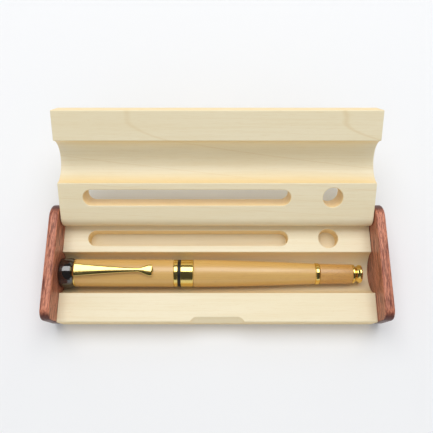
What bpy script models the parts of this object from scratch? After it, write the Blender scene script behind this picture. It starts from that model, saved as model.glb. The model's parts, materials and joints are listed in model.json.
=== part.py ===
"""Fountain pen case: two hinged blocks of pale wood between dark end caps, and the pen it holds.

Metres, +Z up. The origin is the centre of the base's underside, +X runs along the case and -Y is
its front. The lid lies back on its stop, and the pen lies in the groove of the base. Closed, the
long slot in the lid holds business cards and the round hole stands the pen upright.
"""
import bpy
import bmesh
from math import asin, cos, pi, radians, sin
from mathutils import Matrix, Vector

MM = 0.001
GAP = 0.3 * MM                # between touching pieces of the case
FIT = 0.15 * MM               # between the fitted pieces of the pen
OVERCUT = 4.0 * MM            # how far a cutter runs past the face that it opens

# The case
INNER_LENGTH = 148.0 * MM     # between the end caps
CASE_DEPTH = 55.0 * MM
BLOCK_HEIGHT = 11.5 * MM      # base and lid alike
CAP_THICKNESS = 4.5 * MM
CAP_CORNER = 5.0 * MM
CAP_REAR_CORNER = 8.0 * MM    # upper rear corner, round the hinge
LID_END_PLAY = 0.5 * MM
EDGE_ROUND = 0.6 * MM
CAP_EDGE_ROUND = 0.9 * MM
CASE_HEIGHT = 2 * BLOCK_HEIGHT + GAP

# The lid turns about a line near its rear edge, and rests on a flat when it lies open
HINGE_RADIUS = 5.1 * MM
HINGE_Y = CASE_DEPTH / 2 - HINGE_RADIUS
HINGE_Z = BLOCK_HEIGHT + GAP + HINGE_RADIUS
OPEN_ANGLE = radians(145.0)
STOP_DIRECTION = OPEN_ANGLE - pi / 2

# Groove, card slot and pen hole, at the same places in base and lid
GROOVE_RADIUS = 9.7 * MM
GROOVE_Y = -4.25 * MM
GROOVE_Z = BLOCK_HEIGHT + GAP / 2
LID_GROOVE_RADIUS = 9.77 * MM
LID_GROOVE_DEPTH = 8.6 * MM
SLOT_Y = 12.4 * MM
SLOT_WIDTH = 7.5 * MM
SLOT_START = -62.2 * MM
SLOT_END = 34.2 * MM
HOLE_X = 53.7 * MM
HOLE_RADIUS = 4.65 * MM
POCKET_DEPTH = 6.0 * MM       # blind in the base, right through the lid

# Thumb notch on the front edge of the base
NOTCH_WIDTH = 26.0 * MM
NOTCH_FLAT = 19.5 * MM
NOTCH_DEPTH = 2.5 * MM
NOTCH_TILT = radians(50.0)

# Pins and dowels
PIN_RADIUS = 1.5 * MM
PIN_IN_CAP = 3.0 * MM
PIN_IN_LID = 9.0 * MM
DOWEL_RADIUS = 2.0 * MM
DOWEL_IN_CAP = 3.0 * MM
DOWEL_IN_BASE = 10.0 * MM
DOWEL_Z = BLOCK_HEIGHT / 2
DOWEL_FRONT_Y = -20.6 * MM
DOWEL_REAR_Y = 20.5 * MM

# The pen, by distance along its axis from the end of its cap
PEN_START_X = -73.85 * MM
PEN_LENGTH = 143.3 * MM
CAP_TOP = 6.4 * MM            # black finial
WASHER_START = 6.55 * MM
WASHER_END = 7.05 * MM
CAP_WOOD_START = 7.2 * MM
CAP_WOOD_END = 53.15 * MM
BAND_START = 53.3 * MM
INLAY_START = 55.2 * MM
INLAY_END = 56.6 * MM
BAND_END = 62.5 * MM
BARREL_START = 62.8 * MM
BARREL_END = 120.4 * MM
TAIL_RING_END = 122.6 * MM
TAIL_WOOD_END = 138.2 * MM
FINIAL_RADIUS = 6.85 * MM
CAP_RADIUS = 6.45 * MM
BAND_RADIUS = 6.5 * MM
BARREL_END_RADIUS = 4.9 * MM
TAIL_RING_RADIUS = 5.1 * MM
TAIL_RADIUS = 4.85 * MM
TAIL_END_RADIUS = 4.6 * MM
END_FINIAL_RADIUS = 4.55 * MM
CAP_BORE = 5.55 * MM
CAP_LINER_RADIUS = 5.4 * MM
CAP_LINER_BORE = 5.05 * MM
BARREL_BORE = 3.9 * MM
BARREL_LINER_RADIUS = 3.75 * MM
BARREL_LINER_BORE = 3.45 * MM
CONVERTER_RADIUS = 2.7 * MM
CONVERTER_BORE = 2.2 * MM
PISTON_RADIUS = 2.0 * MM
ROD_RADIUS = 0.8 * MM
STUD_RADIUS = 3.0 * MM        # the finial's threaded stud

# The pen rests on its band and on the end of its tail, so it lies at a slight angle
GROOVE_FLOOR = GROOVE_Z - GROOVE_RADIUS
PEN_TILT = asin((BAND_RADIUS - END_FINIAL_RADIUS) / (PEN_LENGTH - BAND_END))
PEN_START_Z = GROOVE_FLOOR + GAP + BAND_RADIUS + BAND_END * sin(PEN_TILT)

# Clip: a spring arm over the cap, wide at its root and ending in a teardrop
CLIP_START = 7.4 * MM
CLIP_LENGTH = 36.5 * MM
CLIP_ROOT_WIDTH = 5.6 * MM
CLIP_NECK_WIDTH = 2.2 * MM
CLIP_TIP_WIDTH = 5.2 * MM
CLIP_TIP_LENGTH = 8.4 * MM
CLIP_THICKNESS = 1.0 * MM
CLIP_HEIGHT = 1.0 * MM        # underside of the arm over the cap, at its middle
CLIP_TIP_DROP = 0.7 * MM      # how much lower the teardrop hangs

# Nib
NIB_TIP = 17.0 * MM
NIB_SHOULDER = 27.0 * MM
NIB_END = 42.0 * MM
NIB_RADIUS = 2.55 * MM
NIB_THICKNESS = 0.3 * MM

ROUND_STEPS = 32
SMALL_STEPS = 20

MAPLE = ("maple", (0.80, 0.66, 0.42, 1), 0.38, 0.0)
ROSEWOOD = ("rosewood", (0.24, 0.07, 0.035, 1), 0.35, 0.0)
PEN_WOOD = ("pen_wood", (0.66, 0.42, 0.17, 1), 0.3, 0.0)
BEECH = ("beech", (0.58, 0.42, 0.25, 1), 0.6, 0.0)
GOLD = ("gold_plate", (0.90, 0.62, 0.20, 1), 0.15, 1.0)
STEEL = ("steel", (0.55, 0.55, 0.56, 1), 0.3, 1.0)
BRASS = ("brass", (0.68, 0.49, 0.21, 1), 0.35, 1.0)
BLACK = ("black_resin", (0.012, 0.011, 0.010, 1), 0.18, 0.0)
CLEAR = ("clear_resin", (0.70, 0.72, 0.74, 1), 0.1, 0.0)
RUBBER = ("seal_rubber", (0.03, 0.03, 0.03, 1), 0.7, 0.0)


def clear_scene():
    """Remove whatever the file opened with."""
    for obj in list(bpy.data.objects):
        bpy.data.objects.remove(obj, do_unlink=True)


def new_collection(name):
    """A collection linked to the scene."""
    collection = bpy.data.collections.new(name)
    bpy.context.scene.collection.children.link(collection)
    return collection


def finish_material(finish):
    """The Principled BSDF material of a finish, made once."""
    name, color, roughness, metallic = finish
    material = bpy.data.materials.get(name)
    if material is None:
        material = bpy.data.materials.new(name)
        material.use_nodes = True
        shader = material.node_tree.nodes["Principled BSDF"]
        shader.inputs["Base Color"].default_value = color
        shader.inputs["Roughness"].default_value = roughness
        shader.inputs["Metallic"].default_value = metallic
        material.diffuse_color = color
    return material


def add_part(name, mesh, finish, parent=None):
    """One named piece of the object."""
    obj = bpy.data.objects.new(name, mesh)
    PARTS.objects.link(obj)
    mesh.materials.append(finish_material(finish))
    obj.parent = parent
    return obj


def add_cutter(name, mesh, parent=None):
    """A body that only cuts or adds to others."""
    obj = bpy.data.objects.new(name, mesh)
    CUTTERS.objects.link(obj)
    obj.hide_render = True
    obj.display_type = "WIRE"
    obj.parent = parent
    return obj


def add_axis(name, location, rotation, parent=None):
    """An empty that holds the frame of the pieces under it."""
    empty = bpy.data.objects.new(name, None)
    empty.empty_display_size = 5 * MM
    PARTS.objects.link(empty)
    empty.parent = parent
    empty.location = location
    empty.rotation_euler = rotation
    return empty


def mesh_from(bm, name):
    """A mesh made from a bmesh."""
    mesh = bpy.data.meshes.new(name)
    bm.to_mesh(mesh)
    bm.free()
    return mesh


def box_mesh(name, low, high):
    """A box between two corners."""
    low = Vector(low)
    high = Vector(high)
    bm = bmesh.new()
    bmesh.ops.create_cube(bm, size=1.0)
    bmesh.ops.scale(bm, vec=high - low, verts=bm.verts)
    bmesh.ops.translate(bm, vec=(low + high) / 2, verts=bm.verts)
    return mesh_from(bm, name)


def rod_mesh(name, start, end, radius, axis="X", steps=SMALL_STEPS):
    """A cylinder from start to end, which differ along the axis alone."""
    start = Vector(start)
    end = Vector(end)
    turn = {"X": Matrix.Rotation(pi / 2, 4, "Y"), "Z": Matrix.Identity(4)}[axis]
    bm = bmesh.new()
    bmesh.ops.create_cone(bm, cap_ends=True, segments=steps, radius1=radius, radius2=radius,
                          depth=(end - start).length, matrix=turn)
    bmesh.ops.translate(bm, vec=(start + end) / 2, verts=bm.verts)
    mesh = mesh_from(bm, name)
    mesh.shade_smooth()
    mesh.set_sharp_from_angle(angle=radians(40))
    return mesh


def outline_mesh(name, points, thickness):
    """A flat outline in Y and Z, extruded along X about its middle."""
    curve = bpy.data.curves.new(name, "CURVE")
    curve.dimensions = "2D"
    curve.fill_mode = "BOTH"
    curve.extrude = thickness / 2
    spline = curve.splines.new("POLY")
    spline.points.add(len(points) - 1)
    spline.use_cyclic_u = True
    for point, (y, z) in zip(spline.points, points):
        point.co = (y, z, 0, 1)
    shape = bpy.data.objects.new(name, curve)
    CUTTERS.objects.link(shape)
    bpy.context.view_layer.update()
    evaluated = shape.evaluated_get(bpy.context.evaluated_depsgraph_get())
    mesh = bpy.data.meshes.new_from_object(evaluated)
    bpy.data.objects.remove(shape, do_unlink=True)
    bm = bmesh.new()
    bm.from_mesh(mesh)
    bmesh.ops.remove_doubles(bm, verts=bm.verts, dist=0.001 * MM)
    bmesh.ops.dissolve_limit(bm, angle_limit=radians(1), verts=bm.verts, edges=bm.edges)
    bmesh.ops.recalc_face_normals(bm, faces=bm.faces)
    bm.to_mesh(mesh)
    bm.free()
    mesh.transform(Matrix.Rotation(pi / 2, 4, "Z") @ Matrix.Rotation(pi / 2, 4, "X"))
    return mesh


def arc(center, radius, start, end, steps):
    """Points on an arc, both ends included."""
    return [(center[0] + radius * cos(start + (end - start) * i / steps),
             center[1] + radius * sin(start + (end - start) * i / steps))
            for i in range(steps + 1)]


def turned_mesh(name, profile, closed):
    """The profile of a turned piece: (radius, distance) from its far end down its outer side."""
    bm = bmesh.new()
    verts = [bm.verts.new((radius, 0, distance)) for radius, distance in profile]
    for first, second in zip(verts, verts[1:]):
        bm.edges.new((first, second))
    if closed:
        bm.edges.new((verts[-1], verts[0]))
    return mesh_from(bm, name)


def spin(obj, steps):
    """Turn a profile about the object's Z."""
    screw = obj.modifiers.new("turn", "SCREW")
    screw.axis = "Z"
    screw.angle = 2 * pi
    screw.steps = steps
    screw.render_steps = steps
    screw.use_merge_vertices = True
    screw.merge_threshold = 0.001 * MM
    screw.use_smooth_shade = True


def turned(name, profile, finish, parent, closed=True, steps=ROUND_STEPS):
    """A turned piece of the pen."""
    obj = add_part(name, turned_mesh(name, profile, closed), finish, parent)
    spin(obj, steps)
    return obj


def tube(start, end, outer, bore):
    """The profile of a plain tube."""
    return [(outer, end), (outer, start), (bore, start), (bore, end)]


def bevel(obj, width, segments=2, angle=40):
    """Round the edges of a piece that are sharper than the angle."""
    modifier = obj.modifiers.new("rounded edges", "BEVEL")
    modifier.width = width
    modifier.segments = segments
    modifier.limit_method = "ANGLE"
    modifier.angle_limit = radians(angle)


def boolean(obj, other, operation="DIFFERENCE"):
    """Cut a piece with another body, or join that body to it."""
    modifier = obj.modifiers.new(other.name, "BOOLEAN")
    modifier.operation = operation
    modifier.solver = "EXACT"
    modifier.object = other


def groove_cutter(name, radius, centre, origin=(0, 0), parent=None):
    """The pen's channel, which runs out at both ends. The origin is the parent's Y and Z."""
    y = GROOVE_Y - origin[0]
    z = centre - origin[1]
    reach = INNER_LENGTH / 2 + OVERCUT
    mesh = rod_mesh(name, (-reach, y, z), (reach, y, z), radius, steps=64)
    return add_cutter(name, mesh, parent)


def slot_cutter(name, low, high, origin=(0, 0), parent=None):
    """The card slot with round ends, from low to high in Z."""
    y = SLOT_Y - origin[0]
    half = SLOT_WIDTH / 2
    first = SLOT_START + half
    last = SLOT_END - half
    points = arc((last, y), half, -pi / 2, pi / 2, 10) + arc((first, y), half, pi / 2, 3 * pi / 2, 10)
    mesh = outline_mesh(name, points, high - low)
    # The outline lies in Y and Z: lay it down in X and Y
    mesh.transform(Matrix.Rotation(-pi / 2, 4, "Y") @ Matrix.Rotation(-pi / 2, 4, "X"))
    mesh.transform(Matrix.Translation((0, 0, (low + high) / 2)))
    return add_cutter(name, mesh, parent)


def hole_cutter(name, low, high, origin=(0, 0), parent=None):
    """The hole that stands the pen, from low to high in Z."""
    y = SLOT_Y - origin[0]
    mesh = rod_mesh(name, (HOLE_X, y, low), (HOLE_X, y, high), HOLE_RADIUS, axis="Z", steps=32)
    return add_cutter(name, mesh, parent)


def notch_cutter():
    """A tilted block with a narrower, rounded end, which scoops the thumb notch."""
    slope = NOTCH_DEPTH / cos(NOTCH_TILT)
    bm = bmesh.new()
    bmesh.ops.create_cube(bm, size=1.0)
    bmesh.ops.scale(bm, vec=(NOTCH_WIDTH, 4 * slope, slope), verts=bm.verts)
    bottom = [vert for vert in bm.verts if vert.co.z < 0]
    bmesh.ops.scale(bm, vec=(NOTCH_FLAT / NOTCH_WIDTH, 1, 1), verts=bottom)
    bmesh.ops.translate(bm, vec=(0, 0, slope / 2), verts=bm.verts)
    cutter = add_cutter("cut_thumb_notch", mesh_from(bm, "cut_thumb_notch"))
    cutter.rotation_euler = (NOTCH_TILT, 0, 0)
    cutter.location = (0, -CASE_DEPTH / 2 + NOTCH_DEPTH / 2, BLOCK_HEIGHT - NOTCH_DEPTH * 0.6)
    return cutter


def build_base():
    """The lower block, with groove, card pocket, pen pocket and thumb notch."""
    half = INNER_LENGTH / 2 - GAP
    mesh = box_mesh("base_block", (-half, -CASE_DEPTH / 2, 0), (half, CASE_DEPTH / 2, BLOCK_HEIGHT))
    base = add_part("base_block", mesh, MAPLE)
    bevel(base, EDGE_ROUND)
    floor = BLOCK_HEIGHT - POCKET_DEPTH
    boolean(base, groove_cutter("cut_base_groove", GROOVE_RADIUS, GROOVE_Z))
    boolean(base, slot_cutter("cut_base_slot", floor, BLOCK_HEIGHT + OVERCUT))
    boolean(base, hole_cutter("cut_base_hole", floor, BLOCK_HEIGHT + OVERCUT))
    boolean(base, notch_cutter())
    for side, name in ((-1, "left"), (1, "right")):
        for y, place in ((DOWEL_FRONT_Y, "front"), (DOWEL_REAR_Y, "rear")):
            start = side * (half - DOWEL_IN_BASE)
            end = side * (half + OVERCUT)
            cutter_name = f"cut_base_dowel_{place}_{name}"
            hole = rod_mesh(cutter_name, (start, y, DOWEL_Z), (end, y, DOWEL_Z), DOWEL_RADIUS + GAP)
            boolean(base, add_cutter(cutter_name, hole))


def lid_outline():
    """The lid's section in Y and Z about the hinge, as it lies when closed."""
    front = -(CASE_DEPTH - HINGE_RADIUS)
    outer = BLOCK_HEIGHT - HINGE_RADIUS
    stop_y = (HINGE_RADIUS - outer * sin(STOP_DIRECTION)) / cos(STOP_DIRECTION)
    knuckle = arc((0, 0), HINGE_RADIUS, -pi / 2, STOP_DIRECTION, 14)
    return [(front, -HINGE_RADIUS)] + knuckle + [(stop_y, outer), (front, outer)]


def build_lid():
    """The upper block, made closed about its hinge and then turned back onto its stop."""
    length = INNER_LENGTH - 2 * LID_END_PLAY
    lid = add_part("lid_block", outline_mesh("lid_block", lid_outline(), length), MAPLE)
    lid.location = (0, HINGE_Y, HINGE_Z)
    lid.rotation_euler = (-OPEN_ANGLE, 0, 0)
    bevel(lid, EDGE_ROUND)
    origin = (HINGE_Y, HINGE_Z)
    low = -HINGE_RADIUS - OVERCUT
    high = BLOCK_HEIGHT - HINGE_RADIUS + OVERCUT
    groove = BLOCK_HEIGHT + GAP + LID_GROOVE_DEPTH - LID_GROOVE_RADIUS
    boolean(lid, groove_cutter("cut_lid_groove", LID_GROOVE_RADIUS, groove, origin, lid))
    boolean(lid, slot_cutter("cut_lid_slot", low, high, origin, lid))
    boolean(lid, hole_cutter("cut_lid_hole", low, high, origin, lid))
    for side, name in ((-1, "left"), (1, "right")):
        start = side * (length / 2 - PIN_IN_LID)
        end = side * (length / 2 + OVERCUT)
        cutter_name = f"cut_lid_pin_{name}"
        hole = rod_mesh(cutter_name, (start, 0, 0), (end, 0, 0), PIN_RADIUS + GAP)
        boolean(lid, add_cutter(cutter_name, hole, lid))


def cap_outline():
    """The end cap's outline in Y and Z, rounder at its upper rear corner."""
    half = CASE_DEPTH / 2
    corner = CAP_CORNER
    rear = CAP_REAR_CORNER
    top = CASE_HEIGHT
    return (arc((half - corner, corner), corner, -pi / 2, 0, 6)
            + arc((half - rear, top - rear), rear, 0, pi / 2, 8)
            + arc((-half + corner, top - corner), corner, pi / 2, pi, 6)
            + arc((-half + corner, corner), corner, pi, 3 * pi / 2, 6))


def build_end(side, name):
    """An end cap with its hinge pin and its two dowels. The side is -1 or 1."""
    face = INNER_LENGTH / 2
    cap = add_part(f"end_cap_{name}", outline_mesh("end_cap", cap_outline(), CAP_THICKNESS), ROSEWOOD)
    cap.location = (side * (face + CAP_THICKNESS / 2), 0, 0)
    bevel(cap, CAP_EDGE_ROUND, 3)

    pin_start = side * (face - LID_END_PLAY - PIN_IN_LID + GAP)
    pin_end = side * (face + PIN_IN_CAP)
    pin = (HINGE_Y, HINGE_Z)
    add_part(f"hinge_pin_{name}",
             rod_mesh("hinge_pin", (pin_start, *pin), (pin_end, *pin), PIN_RADIUS), STEEL)
    holes = [("pin", pin, PIN_RADIUS, PIN_IN_CAP)]

    for y, place in ((DOWEL_FRONT_Y, "front"), (DOWEL_REAR_Y, "rear")):
        start = side * (face - DOWEL_IN_BASE)
        end = side * (face + DOWEL_IN_CAP)
        add_part(f"dowel_{place}_{name}",
                 rod_mesh("dowel", (start, y, DOWEL_Z), (end, y, DOWEL_Z), DOWEL_RADIUS), BEECH)
        holes.append((f"dowel_{place}", (y, DOWEL_Z), DOWEL_RADIUS, DOWEL_IN_CAP))

    for use, place, radius, depth in holes:
        cutter_name = f"cut_cap_{use}_{name}"
        start = side * (face - OVERCUT)
        end = side * (face + depth + GAP)
        hole = rod_mesh(cutter_name, (start, *place), (end, *place), radius + GAP)
        boolean(cap, add_cutter(cutter_name, hole))


def build_pen_cap(axis):
    """The cap: black finial, wood sleeve on its brass liner, bushing, inner cap and centre band."""
    dome = arc((FINIAL_RADIUS - 1.6 * MM, 1.6 * MM), 1.6 * MM, 0, -pi / 2, 4)
    stud_end = 12.0 * MM
    turned("cap_finial",
           [(0, stud_end), (STUD_RADIUS, stud_end), (STUD_RADIUS, CAP_TOP),
            (FINIAL_RADIUS - 0.5 * MM, CAP_TOP), (FINIAL_RADIUS, CAP_TOP - 0.5 * MM)]
           + dome + [(0, 0)], BLACK, axis, closed=False)
    turned("cap_sleeve", tube(CAP_WOOD_START, CAP_WOOD_END, CAP_RADIUS, CAP_BORE), PEN_WOOD, axis)
    turned("cap_liner", tube(CAP_WOOD_START, BAND_END - FIT, CAP_LINER_RADIUS, CAP_LINER_BORE),
           BRASS, axis)
    bushing_radius = CAP_LINER_BORE - FIT
    turned("cap_bushing",
           tube(CAP_WOOD_START, stud_end + FIT, bushing_radius, STUD_RADIUS + FIT), BRASS, axis)
    floor = stud_end + 2 * FIT + 0.6 * MM
    seal_end = 36.0 * MM
    turned("inner_cap",
           [(0, floor), (bushing_radius - 0.5 * MM, floor), (bushing_radius - 0.5 * MM, seal_end),
            (bushing_radius, seal_end), (bushing_radius, stud_end + 2 * FIT),
            (0, stud_end + 2 * FIT)], BLACK, axis, closed=False, steps=SMALL_STEPS)
    round_off = 0.25 * MM
    turned("band_upper_ring",
           [(BAND_RADIUS, INLAY_START - FIT / 2), (BAND_RADIUS, BAND_START + round_off),
            (BAND_RADIUS - round_off, BAND_START), (CAP_BORE, BAND_START),
            (CAP_BORE, INLAY_START - FIT / 2)], GOLD, axis)
    turned("band_inlay_ring",
           tube(INLAY_START + FIT / 2, INLAY_END - FIT / 2, BAND_RADIUS - 0.1 * MM, CAP_BORE),
           BLACK, axis)
    turned("band_lip_ring",
           [(BAND_RADIUS - round_off, BAND_END), (BAND_RADIUS, BAND_END - round_off),
            (BAND_RADIUS, INLAY_END + FIT / 2), (CAP_BORE, INLAY_END + FIT / 2),
            (CAP_BORE, BAND_END)], GOLD, axis)


def barrel_radius(distance):
    """Outer radius of the barrel's wood: nearly straight at first, then drawn in to the tail."""
    share = (distance - BARREL_START) / (BARREL_END - BARREL_START)
    return CAP_RADIUS + (BARREL_END_RADIUS - CAP_RADIUS) * share ** 1.6


def build_barrel(axis):
    """The barrel: turned wood, gold ring, tail wood and end finial on one brass liner."""
    steps = 8
    stations = [BARREL_END + (BARREL_START - BARREL_END) * i / steps for i in range(steps + 1)]
    outer = [(barrel_radius(distance), distance) for distance in stations]
    turned("barrel_sleeve", outer + [(BARREL_BORE, BARREL_START), (BARREL_BORE, BARREL_END)],
           PEN_WOOD, axis)
    ring_start = BARREL_END + FIT
    ring_round = 0.5 * MM
    turned("tail_ring",
           [(TAIL_RING_RADIUS - ring_round, TAIL_RING_END), (TAIL_RING_RADIUS, TAIL_RING_END - ring_round),
            (TAIL_RING_RADIUS, ring_start + ring_round), (TAIL_RING_RADIUS - ring_round, ring_start),
            (BARREL_BORE, ring_start), (BARREL_BORE, TAIL_RING_END)], GOLD, axis)
    tail_start = TAIL_RING_END + FIT
    turned("tail_sleeve",
           [(TAIL_END_RADIUS, TAIL_WOOD_END), (TAIL_RADIUS, tail_start), (BARREL_BORE, tail_start),
            (BARREL_BORE, TAIL_WOOD_END)], PEN_WOOD, axis)
    turned("barrel_liner",
           tube(BARREL_START, TAIL_WOOD_END, BARREL_LINER_RADIUS, BARREL_LINER_BORE), BRASS, axis)
    plug = BARREL_LINER_BORE - FIT
    head = TAIL_WOOD_END + FIT
    waist = (head + PEN_LENGTH) / 2
    rim = 0.7 * MM
    turned("end_finial",
           [(0, PEN_LENGTH), (END_FINIAL_RADIUS - 1.4 * MM, PEN_LENGTH),
            (END_FINIAL_RADIUS - 0.3 * MM, PEN_LENGTH - rim / 2),
            (END_FINIAL_RADIUS - 0.3 * MM, PEN_LENGTH - 2 * rim), (END_FINIAL_RADIUS - 1.1 * MM, waist),
            (END_FINIAL_RADIUS, head + 1.5 * rim), (END_FINIAL_RADIUS, head + rim / 2),
            (END_FINIAL_RADIUS - 0.3 * MM, head), (plug, head), (plug, head - 6 * MM),
            (0, head - 6 * MM)], GOLD, axis, closed=False)


def build_nib_unit(axis):
    """Nib, feed, grip section and the threaded collar that joins cap, section and barrel."""
    grip_start = 36.3 * MM
    grip_end = 53.5 * MM
    grip_bore = 2.95 * MM
    turned("grip_section",
           [(4.5 * MM, grip_end), (4.3 * MM, 48 * MM), (3.8 * MM, 40 * MM), (3.9 * MM, 37.6 * MM),
            (4.1 * MM, 36.8 * MM), (3.8 * MM, grip_start), (grip_bore, grip_start),
            (grip_bore, grip_end)], BLACK, axis)
    collar_radius = CAP_LINER_BORE - FIT
    neck = BARREL_LINER_BORE - FIT
    bore = CONVERTER_RADIUS + FIT
    turned("section_collar",
           [(neck, 68 * MM), (neck, BAND_END), (collar_radius, BAND_END), (collar_radius, grip_end + FIT),
            (bore, grip_end + FIT), (bore, 68 * MM)], GOLD, axis)

    feed_radius = 2.2 * MM
    nipple = 1.6 * MM
    feed = turned("feed",
                  [(0, 51 * MM), (nipple, 51 * MM), (nipple, 45 * MM), (feed_radius, 45 * MM),
                   (feed_radius, 27 * MM), (1.4 * MM, 20.5 * MM), (0, 20 * MM)], BLACK, axis,
                  closed=False, steps=SMALL_STEPS)
    flat = box_mesh("cut_feed_top", (-4 * MM, -4 * MM, 18 * MM), (-1.0 * MM, 4 * MM, 26.9 * MM))
    boolean(feed, add_cutter("cut_feed_top", flat, axis))

    bm = bmesh.new()
    bmesh.ops.create_grid(bm, x_segments=10, y_segments=9, size=0.5)
    for vert in bm.verts:
        across = 2 * vert.co.x
        distance = NIB_TIP + (NIB_END - NIB_TIP) * (vert.co.y + 0.5)
        share = min(1, (distance - NIB_TIP) / (NIB_SHOULDER - NIB_TIP))
        angle = across * radians(6 + 79 * sin(share * pi / 2))
        vert.co = (-NIB_RADIUS * cos(angle), NIB_RADIUS * sin(angle), distance)
    nib = add_part("nib", mesh_from(bm, "nib"), GOLD, axis)
    nib.data.shade_smooth()
    sheet = nib.modifiers.new("sheet", "SOLIDIFY")
    sheet.thickness = NIB_THICKNESS
    sheet.offset = 0


def build_converter(axis):
    """The ink converter: tube, collar, knob on its screw, and the piston that the screw draws."""
    start = 47.0 * MM
    end = 92.0 * MM
    mouth = 1.8 * MM
    turned("converter_tube",
           [(CONVERTER_RADIUS, end), (CONVERTER_RADIUS, start), (mouth, start), (mouth, 52 * MM),
            (CONVERTER_BORE, 52.5 * MM), (CONVERTER_BORE, end)], CLEAR, axis, steps=SMALL_STEPS)
    turned("converter_collar",
           tube(80 * MM, end + 1 * MM, CONVERTER_RADIUS + FIT + 0.4 * MM, CONVERTER_RADIUS + FIT),
           GOLD, axis, steps=SMALL_STEPS)

    knob_start = end + 1 * MM + FIT
    knob_end = 113.0 * MM
    screw_bore = ROD_RADIUS + FIT
    knob_axis = add_axis("converter_knob_axis", (0, 0, knob_start), (0, 0, 0), axis)
    length = knob_end - knob_start
    wall = 2 * MM
    turned("converter_knob",
           [(0, length), (CONVERTER_RADIUS - 0.4 * MM, length), (CONVERTER_RADIUS, length - 0.4 * MM),
            (CONVERTER_RADIUS, 0), (screw_bore, 0), (screw_bore, length - wall), (0, length - wall)],
           BLACK, knob_axis, closed=False, steps=SMALL_STEPS)

    seal = 53.5 * MM
    rod_end = 92.0 * MM
    piston_axis = add_axis("converter_piston_axis", (0, 0, seal), (0, 0, 0), axis)
    lip = 0.6 * MM
    thick = 3.2 * MM
    turned("converter_piston",
           [(0, rod_end - seal), (ROD_RADIUS, rod_end - seal), (ROD_RADIUS, thick),
            (PISTON_RADIUS, thick), (PISTON_RADIUS, thick - lip), (PISTON_RADIUS - 0.3 * MM, thick / 2),
            (PISTON_RADIUS, lip), (PISTON_RADIUS, 0), (0, 0)],
           RUBBER, piston_axis, closed=False, steps=SMALL_STEPS)


def clip_section(share):
    """Half width, half thickness and lift of the clip's arm at a share of its length."""
    tip_start = 1 - CLIP_TIP_LENGTH / CLIP_LENGTH
    if share < tip_start:
        along = share / tip_start
        width = CLIP_NECK_WIDTH + (CLIP_ROOT_WIDTH - CLIP_NECK_WIDTH) * (1 - along) ** 1.3
        thickness = CLIP_THICKNESS
        lift = CLIP_HEIGHT
    else:
        along = (share - tip_start) / (1 - tip_start)
        swell = sin(along * 0.86 * pi) ** 1.2
        width = CLIP_NECK_WIDTH + (CLIP_TIP_WIDTH - CLIP_NECK_WIDTH) * swell
        thickness = CLIP_THICKNESS * (1 + 0.5 * swell)
        lift = CLIP_HEIGHT - CLIP_TIP_DROP * sin(along * pi)
    rounding = min(1, (share + 0.004) / 0.05, (1.008 - share) / 0.05) ** 0.5
    return width / 2 * rounding, thickness / 2 * (0.5 + 0.5 * rounding), lift


def build_clip(axis):
    """The washer clamped under the finial, with its tab, and the spring arm over the cap."""
    reach = CAP_RADIUS + CLIP_HEIGHT + CLIP_THICKNESS - 0.2 * MM
    washer = turned("clip_washer", tube(WASHER_START, WASHER_END, CAP_RADIUS - FIT, STUD_RADIUS + FIT),
                    GOLD, axis)
    half = CLIP_ROOT_WIDTH / 2 - 0.6 * MM
    tab = box_mesh("join_clip_tab", (-reach, -half, WASHER_START), (-CAP_RADIUS + 1 * MM, half, WASHER_END))
    boolean(washer, add_cutter("join_clip_tab", tab, axis), "UNION")

    root = (-(CAP_RADIUS + CLIP_HEIGHT + CLIP_THICKNESS / 2), 0, CLIP_START)
    clip_axis = add_axis("clip_arm_axis", root, (0, 0, 0), axis)
    rings = []
    stations = 18
    around = 10
    for i in range(stations + 1):
        share = i / stations
        half_width, half_thickness, lift = clip_section(share)
        rise = CLIP_HEIGHT - lift
        rings.append([(rise - half_thickness * sin(2 * pi * k / around),
                       half_width * cos(2 * pi * k / around), share * CLIP_LENGTH)
                      for k in range(around)])
    add_part("clip_arm", loft_mesh("clip_arm", rings), GOLD, clip_axis)


def loft_mesh(name, rings):
    """A closed body through rings of equal point counts."""
    bm = bmesh.new()
    rows = [[bm.verts.new(point) for point in ring] for ring in rings]
    for row, following in zip(rows, rows[1:]):
        for i in range(len(row)):
            j = (i + 1) % len(row)
            bm.faces.new((row[i], row[j], following[j], following[i]))
    bm.faces.new(rows[0])
    bm.faces.new(rows[-1])
    bmesh.ops.recalc_face_normals(bm, faces=bm.faces)
    mesh = mesh_from(bm, name)
    mesh.shade_smooth()
    return mesh


def build_pen():
    """The pen in its groove. Its frame has Z along the pen and -X towards the clip."""
    axis = add_axis("pen_axis", (PEN_START_X, GROOVE_Y, PEN_START_Z), (0, pi / 2 + PEN_TILT, 0))
    build_pen_cap(axis)
    build_clip(axis)
    build_barrel(axis)
    build_nib_unit(axis)
    build_converter(axis)


clear_scene()
PARTS = new_collection("fountain_pen_case")
CUTTERS = new_collection("cutters")
build_base()
build_lid()
build_end(-1, "left")
build_end(1, "right")
build_pen()
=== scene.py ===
"""The looks of the fountain pen case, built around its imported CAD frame.

Shapes are written in millimetres and scaled once, when their mesh is made.
"""

import json
from math import asin, atan2, cos, pi, radians, sin, sqrt, tan

import bmesh
import bpy
from mathutils import Matrix, Vector


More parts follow.
